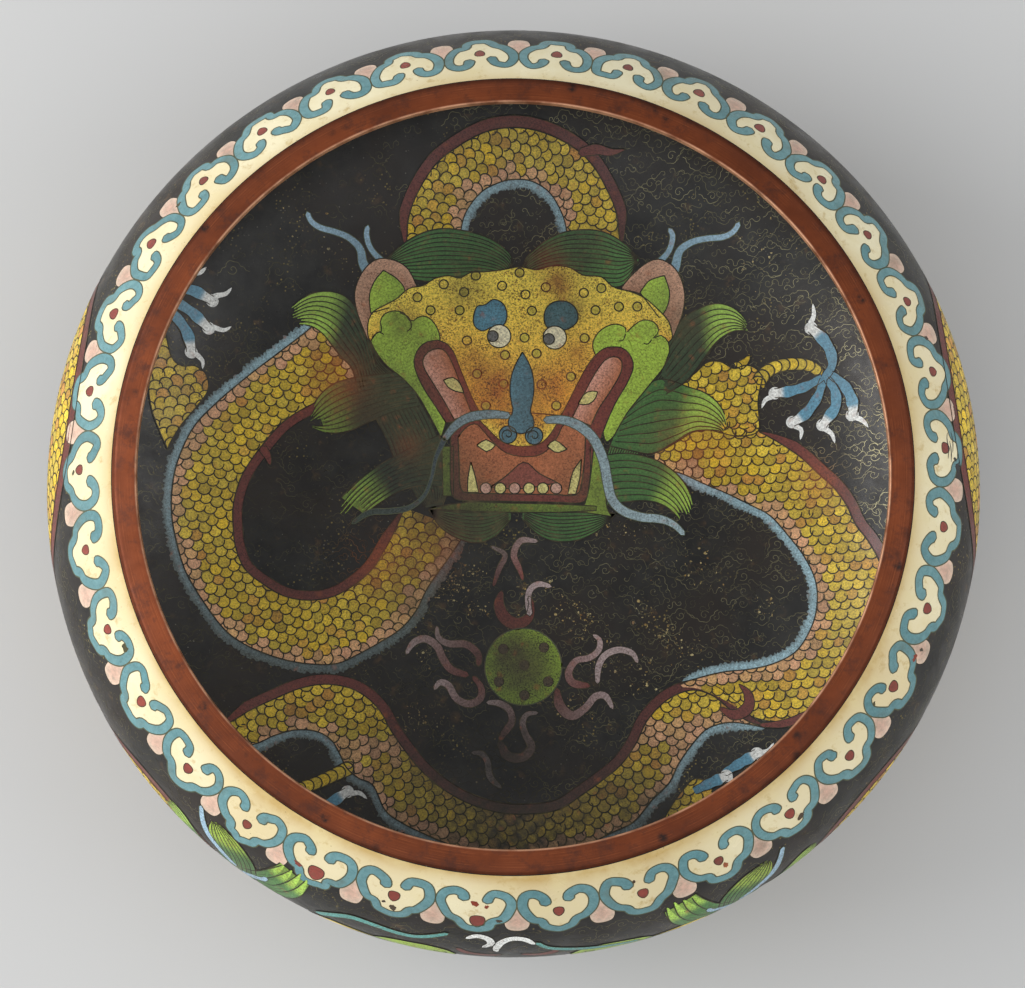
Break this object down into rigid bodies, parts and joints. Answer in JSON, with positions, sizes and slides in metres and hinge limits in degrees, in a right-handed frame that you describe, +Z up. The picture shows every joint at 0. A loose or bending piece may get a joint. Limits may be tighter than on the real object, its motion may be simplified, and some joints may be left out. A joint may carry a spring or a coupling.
{
  "type": "cloisonne bowl",
  "caption": "Wide, low bowl with an incurved mouth: enamelled copper body with inlaid dragons, a bare copper mouth ring and a foot ring.",
  "frame": {"origin": "on the table, under the middle of the bowl", "axes": "+Z up along the bowl's axis, -Y towards the front, where the dragon's head in the bowl looks"},
  "size_m": [0.3, 0.3, 0.1048],
  "materials": {
    "enamelled_copper": "black cloisonne enamel, polished, with coloured cells between flush wires",
    "bare_copper": "bare copper, rubbed and patinated brown"
  },
  "bodies": {
    "root": {"bowl_body": "enamelled_copper", "mouth_rim": "bare_copper", "foot_ring": "bare_copper"}
  },
  "joints": []
}
